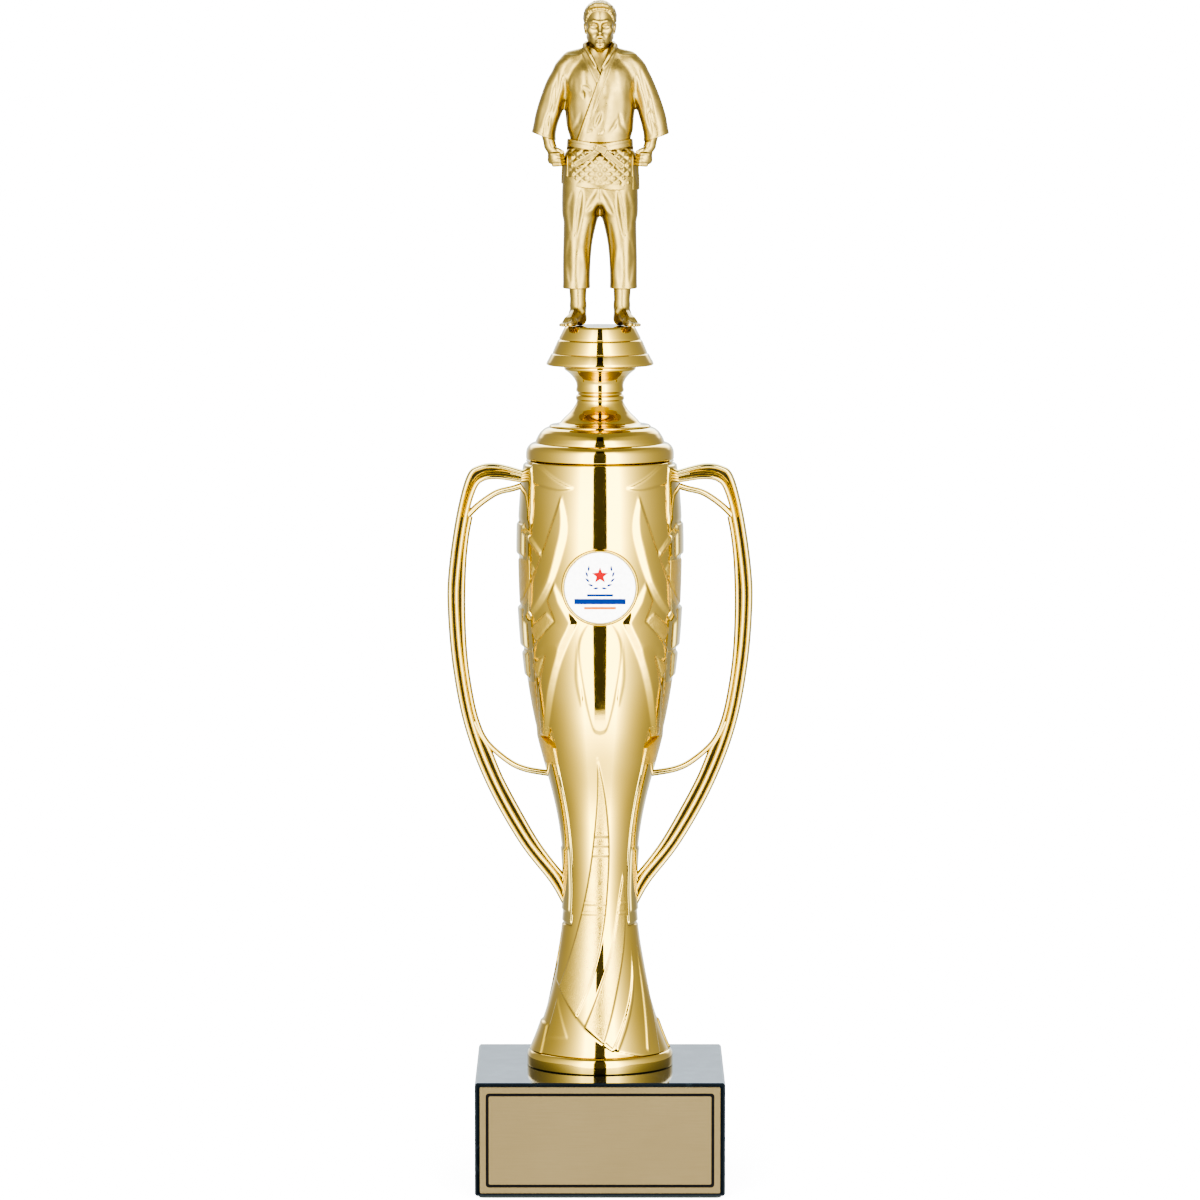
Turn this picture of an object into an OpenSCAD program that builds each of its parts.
// Cup trophy: a two-handled cup on a stone block, with a lift-off lid that carries a judo figure.
// Millimetres, +Z up. The origin is under the middle of the base, and the front faces -Y.

/* [Base] */
// Width of the stone block
base_w = 88; // [70:1:120]
// Depth of the stone block
base_d = 84; // [70:1:120]
// Height of the base, felt included
base_h = 41; // [32:0.5:60]
// Bevel along the edges of the block
base_bevel = 0.7; // [0.3:0.1:2]
// Thickness of the felt under the block
felt_t = 0.8; // [0.5:0.1:3]
// Stone left bare at each side of the name plate
plate_margin_x = 1.7; // [1:0.1:6]
// Stone left bare above and below the name plate
plate_margin_z = 1.2; // [1:0.1:6]
// Thickness of the name plate
plate_t = 0.8; // [0.4:0.1:2]
// Thickness of the adhesive tapes
tape_t = 0.25; // [0.1:0.05:0.5]

/* [Cup] */
// Height of the cup, from the block to the rim
cup_h = 216; // [180:1:270]
// Height of the foot ring
foot_ring_h = 5.8; // [4:0.1:9]
// Radius of the foot ring
foot_r = 26; // [22:0.5:32]
// Radius of the waist
waist_r = 12.4; // [11.5:0.1:16]
// Radius of the belly
belly_r = 28.7; // [24:0.1:35]
// Radius of the rim
rim_r = 26.5; // [23:0.1:32]
// Wall thickness of the cup
wall_t = 1.6; // [1.4:0.1:2.4]
// Thickness of the floor inside the cup
floor_t = 2.5; // [1.5:0.1:5]

/* [Handles] */
// Distance from the axis to the outside of a handle
handle_reach = 53.9; // [48:0.1:66]
// Depth of a handle, front to back
handle_d = 5; // [3:0.5:8]
// Width of one strand of a handle
strand_w = 1.7; // [1.2:0.1:2.2]
// Half angle that a handle's spine strip covers on the cup
strip_angle = 30; // [15:1:40]
// Depth of the recess that the strip sits in
recess_d = 0.8; // [0.4:0.1:1]
// How far the strip stands out of the cup
strip_proud = 0.5; // [0.2:0.1:1.5]

/* [Medallion] */
// Diameter of the printed centre disc
medal_d = 25; // [20:1:30]
// Thickness of the centre disc
medal_t = 1; // [0.6:0.1:2]
// Width of the ring around the disc
medal_ring = 1.05; // [0.8:0.05:3]
// How far the ring stands out in front of the cup
medal_proud = 2.1; // [1.8:0.1:5]

/* [Lid] */
// Depth of the skirt that drops into the cup
skirt_h = 6; // [3:0.5:12]
// Clearance between the skirt and the cup
lid_fit = 0.3; // [0.2:0.05:0.6]
// Radius of the riser's foot
riser_r = 18; // [15:0.5:19]
// Height of the riser
riser_h = 21.8; // [16:0.1:30]
// Radius of the figure's stepped base
figure_base_r = 19; // [17:0.5:24]
// Height of the figure's stepped base
figure_base_h = 13.9; // [12:0.1:20]
// Height of the figure
figure_h = 114.5; // [90:0.5:140]

/* [Fasteners] */
// Diameter of the tie rod
rod_d = 6; // [5:1:6]
// Diameter of the lid bolt
bolt_d = 5; // [4:1:5]
// Clearance of a fastener in its hole
hole_fit = 0.5; // [0.2:0.1:0.8]
// Clearance between pieces that sit in each other
seat_fit = 0.1; // [0.05:0.05:0.2]

/* [Hidden] */
$fn = 96;

// Colours
gold = [0.80, 0.66, 0.35];
plate_gold = [0.76, 0.67, 0.51];
slate = [0.12, 0.17, 0.21];
felt_green = [0.10, 0.14, 0.12];
steel = [0.70, 0.71, 0.73];
white = [0.95, 0.95, 0.94];
tape_grey = [0.85, 0.84, 0.80];

// Hardware in proportion to its thread: width across flats, nut height, washer size, head height
rod_nut_af = rod_d * 10 / 6;
rod_nut_h = rod_d * 5 / 6;
bolt_nut_af = bolt_d * 8 / 5;
bolt_nut_h = bolt_d * 4 / 5;
bolt_head_r = bolt_d * 0.85;
bolt_head_h = bolt_d * 0.7;
washer_t = 1.6;
lid_washer_t = 1;
thread_overrun = 3;
counterbore_r = rod_d * 2 + 1;
counterbore_h = 13;

// Places along the axis
drawn_cup_h = 216;
stretch = cup_h / drawn_cup_h;
rim_z = base_h + cup_h;
foot_top_z = base_h + foot_ring_h;
floor_z = at(91);
floor_top = floor_z + floor_t;
clamp_t = 2;
lid_top = rim_z + 11.9;
riser_top = lid_top + riser_h;
figure_z = riser_top + figure_base_h;

// Heights on the cup are given above the block, on a cup 216 high, and stretch with it
function at(h) = base_h + h * stretch;

function bezier(a, b, c, d, n) = [for (i = [1:n])
    let (t = i / n, s = 1 - t)
    s * s * s * a + 3 * s * s * t * b + 3 * s * t * t * c + t * t * t * d
];

// Outside of the cup from the foot ring to the rim, as [radius, height]
foot_curve_start = [foot_r - 1.5, foot_top_z];
waist_point = [waist_r, at(62)];
belly_point = [belly_r, at(182)];
cup_curve = concat(
    [foot_curve_start],
    bezier(foot_curve_start, [foot_r - 7.5, at(19)], [waist_r + 0.8, at(39)], waist_point, 10),
    bezier(waist_point, [waist_r, at(109)], [belly_r - 0.9, at(107)], belly_point, 18),
    bezier(belly_point, [belly_r + 0.1, at(194)], [rim_r + 1.7, at(205)], [rim_r, rim_z], 6)
);
curve_heights = [for (p = cup_curve) [p[1], p[0]]];
function radius_at(z) = lookup(z, curve_heights);
function between(z0, z1) = concat([z0], [for (p = cup_curve) if (p[1] > z0 + 0.4 && p[1] < z1 - 0.4) p[1]], [z1]);
function reversed(list) = [for (i = [len(list) - 1:-1:0]) list[i]];
function along(z0, z1, out) = [for (z = between(z0, z1)) [radius_at(z) + out, z]];
function layer(z0, z1, inside, outside) = concat(along(z0, z1, outside), reversed(along(z0, z1, -inside)));

module revolve(points) {
    rotate_extrude()
        polygon(points);
}

module sector(points, half_angle) {
    rotate([0, 0, -half_angle])
        rotate_extrude(angle = 2 * half_angle)
            polygon(points);
}

// A solid of the cup's outer shape, moved in by inset, to cut other pieces to its surface
module cup_core(z0, z1, inset) {
    revolve(concat([[0, z0]], along(z0, z1, -inset), [[0, z1]]));
}

module hex_prism(across_flats, h) {
    cylinder(r = across_flats / sqrt(3), h = h, $fn = 6);
}

module nut(thread_d, across_flats, h) {
    difference() {
        hex_prism(across_flats, h);
        translate([0, 0, -1])
            cylinder(d = thread_d + 2 * seat_fit, h = h + 2);
    }
}

module washer(thread_d, outer_r, t) {
    difference() {
        cylinder(r = outer_r, h = t);
        translate([0, 0, -1])
            cylinder(d = thread_d + hole_fit, h = t + 2);
    }
}

// ---- Base ----

module bevelled_rectangle(w, h, bevel) {
    x = w / 2;
    y = h / 2;
    polygon([[-x + bevel, -y], [x - bevel, -y], [x, -y + bevel], [x, y - bevel],
        [x - bevel, y], [-x + bevel, y], [-x, y - bevel], [-x, -y + bevel]]);
}

module rounded_rectangle(w, h, r) {
    x = w / 2 - r;
    y = h / 2 - r;
    polygon([for (c = [[x, y, 0], [-x, y, 90], [-x, -y, 180], [x, -y, 270]], a = [0:30:90])
        [c[0] + r * cos(c[2] + a), c[1] + r * sin(c[2] + a)]]);
}

block_h = base_h - felt_t;
block_mid_z = felt_t + block_h / 2;
seat_z = felt_t + counterbore_h;

module bevelled_block() {
    intersection() {
        translate([0, 0, felt_t])
            linear_extrude(block_h)
                bevelled_rectangle(base_w, base_d, base_bevel);
        translate([0, 0, block_mid_z])
            rotate([90, 0, 0])
                linear_extrude(base_d + 2, center = true)
                    bevelled_rectangle(base_w, block_h, base_bevel);
        translate([0, 0, block_mid_z])
            rotate([90, 0, 90])
                linear_extrude(base_w + 2, center = true)
                    bevelled_rectangle(base_d, block_h, base_bevel);
    }
}

module base_block() {
    color(slate)
        difference() {
            bevelled_block();
            cylinder(d = rod_d + 2 * hole_fit, h = base_h + 1);
            cylinder(r = counterbore_r, h = seat_z);
        }
}

module base_felt() {
    color(felt_green)
        linear_extrude(felt_t)
            rounded_rectangle(base_w - 4 * base_bevel, base_d - 4 * base_bevel, 2);
}

module front_panel(w, h, r, back_y, t) {
    translate([0, back_y, block_mid_z])
        rotate([90, 0, 0])
            linear_extrude(t)
                rounded_rectangle(w, h, r);
}

plate_w = base_w - 2 * plate_margin_x;
plate_h = block_h - 2 * plate_margin_z;
tape_inset = 2;

module plate_tape() {
    color(tape_grey)
        front_panel(plate_w - 2 * tape_inset, plate_h - 2 * tape_inset, 0.5, -base_d / 2, tape_t);
}

module name_plate() {
    color(plate_gold)
        front_panel(plate_w, plate_h, 0.5, -base_d / 2 - tape_t, plate_t);
}

// ---- Cup ----

spigot_h = 1.6;

module foot_ring() {
    spigot_r = radius_at(foot_top_z + spigot_h) - wall_t - seat_fit;
    bore_r = spigot_r - 3;
    color(gold)
        revolve([
            [bore_r, base_h], [foot_r - 0.4, base_h], [foot_r, base_h + 0.4], [foot_r, foot_top_z - 1.8],
            [foot_r - 0.3, foot_top_z - 0.9], [foot_r - 0.9, foot_top_z - 0.2], [foot_r - 1.5, foot_top_z],
            [spigot_r, foot_top_z], [spigot_r, foot_top_z + spigot_h], [bore_r, foot_top_z + spigot_h]
        ]);
}

// Section of the shell: outside up, over the rim, down the inside, round the floor, down to the foot
shell_section = concat(
    cup_curve,
    reversed(along(floor_top, rim_z, -wall_t)),
    [[rod_d / 2 + hole_fit, floor_top], [rod_d / 2 + hole_fit, floor_z]],
    reversed(along(foot_top_z, floor_z, -wall_t))
);
strip_z0 = at(52);
strip_z1 = at(214.4);
strip_gap = 0.2;

module strip_recess() {
    sector(layer(strip_z0 - strip_gap, strip_z1 + strip_gap, recess_d, 3), strip_angle + strip_gap);
}

module cup_half(turn) {
    color(gold)
        difference() {
            rotate([0, 0, turn])
                rotate_extrude(angle = 180)
                    polygon(shell_section);
            strip_recess();
            mirror([1, 0, 0])
                strip_recess();
        }
}

module cup_front_shell() {
    cup_half(180);
}

module cup_back_shell() {
    cup_half(0);
}

// ---- Handles ----

// A handle is drawn in its plane as [distance from the axis, height above the block],
// on a cup with a waist radius of 12.4 and a reach of 53.9
drawn_waist_r = 12.4;
drawn_reach = 53.9;
reach_scale = (handle_reach - waist_r) / (drawn_reach - drawn_waist_r);
function on_handle(p) = [waist_r + (p[0] - drawn_waist_r) * reach_scale, at(p[1])];
function root_at(h) = [radius_at(at(h)) - 2, at(h)];

function spline_point(a, b, c, d, t) =
    0.5 * (2 * b + (c - a) * t + (2 * a - 5 * b + 4 * c - d) * t * t + (3 * b - a - 3 * c + d) * t * t * t);
function spline(points, n) = let (last = len(points) - 1) concat(
    [for (i = [0:last - 1], k = [0:n - 1])
        spline_point(points[max(i - 1, 0)], points[i], points[i + 1], points[min(i + 2, last)], k / n)],
    [points[last]]
);
function outward(path, i) =
    let (step = path[min(i + 1, len(path) - 1)] - path[max(i - 1, 0)], d = step / norm(step))
    [-d[1], d[0]];
function beside(path, d) = [for (i = [0:len(path) - 1]) path[i] + d * outward(path, i)];
function ribbon(path, inner, outer) = concat(beside(path, outer), reversed(beside(path, inner)));

outer_strand = spline(concat([root_at(211.4)],
    [for (p = [[36.5, 213.9], [42.8, 213.2], [46.4, 209.8], [49.9, 196.5], [52.6, 178], [53.1, 164],
        [51.4, 143], [47.1, 121], [39.1, 100], [27.9, 80], [17.2, 66]]) on_handle(p)],
    [root_at(57)]), 4);
second_strand = spline(concat([root_at(208.9)],
    [for (p = [[36.5, 210.2], [41.8, 209.3], [44.8, 205.8], [47.7, 195.5], [50.2, 178], [50.8, 164],
        [49.1, 143], [45, 121.6], [36.9, 100.8], [25.8, 81], [15.6, 68]]) on_handle(p)],
    [root_at(61)]), 4);
inner_strand = spline(
    [for (p = [[45.9, 196], [47.2, 189], [48.2, 179], [48.6, 164], [47.9, 147], [45.9, 132.5],
        [43.4, 122.3]]) on_handle(p)], 4);
lower_arc = spline(concat(
    [for (p = [[45.1, 128.6], [43.4, 122.3], [39.9, 115.3], [32.9, 109], [26.8, 106]]) on_handle(p)],
    [root_at(104.4)]), 4);
lower_strand = spline(concat(
    [for (p = [[44.2, 122], [39.6, 113.3], [35.2, 102.8], [29, 91], [22.9, 80.4], [17.6, 73]]) on_handle(p)],
    [root_at(66)]), 4);
upper_arc = spline(concat([root_at(207)],
    [for (p = [[31.1, 205.9], [36, 204.7], [40, 202.4], [43.6, 199.6], [46.8, 196.4]]) on_handle(p)]), 4);

strand_pitch = 2.3;
web_d = 1.6;

module in_plane(path, inner, outer, depth) {
    rotate([90, 0, 0])
        linear_extrude(depth, center = true)
            polygon(ribbon(path, inner, outer));
}

module strand(path, width, depth) {
    in_plane(path, -width / 2, width / 2, depth);
}

module strands() {
    strand(outer_strand, strand_w, handle_d);
    strand(second_strand, strand_w, handle_d - 0.6);
    strand(inner_strand, strand_w, handle_d - 1.2);
    strand(lower_strand, strand_w - 0.1, handle_d - 1.2);
    strand(lower_arc, strand_w + 0.3, handle_d - 1.6);
    strand(upper_arc, strand_w + 0.5, handle_d - 1.6);
    in_plane(outer_strand, -strand_pitch, 0, web_d);
    in_plane(inner_strand, 0, strand_pitch, web_d);
    in_plane(lower_strand, 0, strand_pitch, web_d);
}

// The strands end inside the strip, so one piece joins them all
module handle() {
    color(gold)
        union() {
            difference() {
                strands();
                cup_core(at(45), rim_z + 1, recess_d / 2);
            }
            sector(layer(strip_z0, strip_z1, recess_d, strip_proud), strip_angle);
        }
}

module handle_right() {
    handle();
}

module handle_left() {
    mirror([1, 0, 0])
        handle();
}

// ---- Medallion ----

medal_z = at(173.5);
medal_r = medal_d / 2;
medal_face = radius_at(medal_z) + medal_proud;
medal_inset = 0.2;
disc_back = medal_face - medal_inset - medal_t;

module facing_front(r, from_y, to_y) {
    translate([0, -from_y, medal_z])
        rotate([90, 0, 0])
            cylinder(r = r, h = to_y - from_y);
}

module medallion_holder() {
    color(gold)
        difference() {
            facing_front(medal_r + medal_ring, belly_r * 0.7, medal_face);
            facing_front(medal_r + seat_fit, disc_back - tape_t, medal_face + 1);
            cup_core(medal_z - 2 * medal_r, medal_z + 2 * medal_r, 0);
        }
}

module medallion_tape() {
    color(tape_grey)
        facing_front(medal_r - 1, disc_back - tape_t, disc_back);
}

module medallion_disc() {
    color(white)
        facing_front(medal_r, disc_back, disc_back + medal_t);
}

// ---- Tie rod from the block to the cup's floor ----

clamp_top = floor_top + clamp_t;
rod_bottom = seat_z - washer_t - rod_nut_h - thread_overrun;
rod_top = clamp_top + washer_t + rod_nut_h + thread_overrun;

module tie_rod() {
    chamfer = 0.6;
    r = rod_d / 2;
    color(steel)
        revolve([[0, rod_bottom], [r - chamfer, rod_bottom], [r, rod_bottom + chamfer],
            [r, rod_top - chamfer], [r - chamfer, rod_top], [0, rod_top]]);
}

module rod_bottom_washer() {
    color(steel)
        translate([0, 0, seat_z - washer_t])
            washer(rod_d, rod_d * 1.5, washer_t);
}

module rod_bottom_nut() {
    color(steel)
        translate([0, 0, seat_z - washer_t - rod_nut_h])
            nut(rod_d, rod_nut_af, rod_nut_h);
}

module clamp_plate() {
    plate_r = radius_at(floor_top) - wall_t - seat_fit;
    color(steel)
        translate([0, 0, floor_top])
            washer(rod_d, plate_r, clamp_t);
}

module rod_top_washer() {
    color(steel)
        translate([0, 0, clamp_top])
            washer(rod_d, rod_d, washer_t);
}

module rod_top_nut() {
    color(steel)
        translate([0, 0, clamp_top + washer_t])
            nut(rod_d, rod_nut_af, rod_nut_h);
}

// ---- Lid ----

lid_r = rim_r - 0.3;
skirt_r = rim_r - wall_t - lid_fit;
skirt_t = 1.4;
lid_t = 1.6;
bolt_hole_r = (bolt_d + hole_fit) / 2;

module lid_dome() {
    color(gold)
        translate([0, 0, rim_z])
            revolve([
                [skirt_r - skirt_t, -skirt_h], [skirt_r - 0.4, -skirt_h], [skirt_r, 0.4 - skirt_h], [skirt_r, 0],
                [lid_r, 0], [lid_r, 3.2], [lid_r - 0.5, 4.6], [lid_r - 1.4, 5.7], [lid_r - 2.7, 6.4],
                [lid_r - 3.4, 6.6], [lid_r - 3.6, 7.3], [lid_r - 4.5, 9.2], [lid_r - 6, 10.9], [lid_r - 8.2, 11.9],
                [bolt_hole_r, 11.9], [bolt_hole_r, 11.9 - lid_t],
                [lid_r - 8.6, 11.9 - lid_t], [lid_r - 6.6, 9.2], [lid_r - 5.6, 7.2], [lid_r - 5.2, 4.4],
                [skirt_r - skirt_t, 2.4]
            ]);
}

module lid_riser() {
    color(gold)
        translate([0, 0, lid_top])
            revolve([
                [bolt_hole_r, 0], [riser_r, 0], [riser_r - 0.3, 0.5], [riser_r - 3.8, 1.5], [12.6, 3.4],
                [10.9, 4.9], [9.8, 6.3], [8.9, 7.7], [8.1, 8.8], [8.5, 9.8], [8.4, 10.8], [7.9, 11.9],
                [8.1, 12.5], [8.5, 13.2], [8.3, 14.7], [8.8, 16.5], [10.3, 18.5], [12.5, riser_h - 1.5],
                [12.7, riser_h - 0.7], [12.4, riser_h], [bolt_hole_r, riser_h]
            ]);
}

// Three tiers as [bottom radius, top radius, height share], each a little wider than the top below it
tiers = [[0, 2.4, 0.30], [2.3, 4.6, 0.36], [4.4, 6.9, 0.34]];
function tier_z(i) = i == 0 ? 0 : tier_z(i - 1) + tiers[i - 1][2] * figure_base_h;
nut_pocket_h = bolt_nut_h + 0.4;
peg_r = 1.6;
peg_h = 4;
stance = 8.2 * figure_h / 114.5;

module figure_base() {
    color(gold)
        translate([0, 0, riser_top])
            difference() {
                for (i = [0:2])
                    translate([0, 0, tier_z(i)])
                        cylinder(r1 = figure_base_r - tiers[i][0], r2 = figure_base_r - tiers[i][1],
                            h = tiers[i][2] * figure_base_h);
                translate([0, 0, -1])
                    hex_prism(bolt_nut_af + 2 * seat_fit, 1 + nut_pocket_h);
                cylinder(r = bolt_hole_r, h = nut_pocket_h + thread_overrun + 1);
                for (side = [-1, 1])
                    translate([side * stance, 0, figure_base_h - peg_h - 0.3])
                        cylinder(r = peg_r + seat_fit, h = peg_h + 1);
            }
}

washer_z = lid_top - lid_t - lid_washer_t;

module lid_washer() {
    color(steel)
        translate([0, 0, washer_z])
            washer(bolt_d, bolt_d * 1.6, lid_washer_t);
}

module lid_bolt() {
    length = riser_top + nut_pocket_h + thread_overrun - 0.5 - washer_z;
    color(steel)
        translate([0, 0, washer_z]) {
            cylinder(d = bolt_d, h = length);
            translate([0, 0, -bolt_head_h])
                cylinder(r = bolt_head_r, h = bolt_head_h);
        }
}

module figure_nut() {
    color(steel)
        translate([0, 0, riser_top])
            nut(bolt_d, bolt_nut_af, bolt_nut_h);
}

// ---- Figure: feet apart, fists on the hips, in a belted judo suit ----

// Lengths below are for a figure 114.5 high and scale with it
module ellipsoid(p, r) {
    translate(p)
        scale(r)
            sphere(1, $fn = 14);
}

module link(p, r, q, s) {
    hull() {
        ellipsoid(p, r);
        ellipsoid(q, s);
    }
}

module leg() {
    link([5.6, 0, 46], [6.6, 6.6, 5], [7.6, 0, 29], [5.6, 6, 5]);
    link([7.6, 0, 29], [5.6, 6, 5], [8.1, 0, 16], [4.9, 5.6, 3.4]);
    link([8.1, 0.4, 14], [2.9, 3.3, 2], [8.3, 0.4, 3.2], [3, 3.6, 3]);
    link([8.4, 1.5, 2.2], [3.1, 3, 2.2], [10.2, -6.5, 1.6], [3.6, 3, 1.6]);
}

module arm() {
    link([13, 0.5, 90], [5.4, 6, 4.6], [19.8, 1, 73], [5, 5.4, 5.6]);
    link([20.4, 0.6, 71], [4.2, 4.8, 4], [17.6, -3, 65.6], [3.2, 3.2, 2.8]);
    link([17.6, -3, 65.6], [2.5, 2.6, 2.4], [14.9, -5.4, 59], [3.4, 3, 4.2]);
}

module torso() {
    link([0, 0.4, 90], [12.6, 6.8, 5.6], [0, 0, 66], [10, 7, 4]);
    link([0, 0, 64], [10.2, 7.4, 3], [0, 0, 51], [12.8, 9, 2]);
    link([0, 0.8, 93], [4.6, 5, 3], [0, -0.4, 98.5], [3.5, 3.8, 2]);
    ellipsoid([0, -1.2, 105.9], [5.9, 7, 8.6]);
}

module figure() {
    size = figure_h / 114.5;
    color(gold)
        translate([0, 0, figure_z])
            scale(size)
                union() {
                    torso();
                    for (side = [0, 1])
                        mirror([side, 0, 0]) {
                            leg();
                            arm();
                            translate([stance / size, 0, -peg_h / size])
                                cylinder(r = peg_r / size, h = (peg_h + 2) / size, $fn = 24);
                        }
                }
}

base_felt();
base_block();
plate_tape();
name_plate();
foot_ring();
cup_front_shell();
cup_back_shell();
handle_left();
handle_right();
medallion_holder();
medallion_tape();
medallion_disc();
tie_rod();
rod_bottom_washer();
rod_bottom_nut();
clamp_plate();
rod_top_washer();
rod_top_nut();
lid_dome();
lid_riser();
figure_base();
figure();
lid_bolt();
lid_washer();
figure_nut();
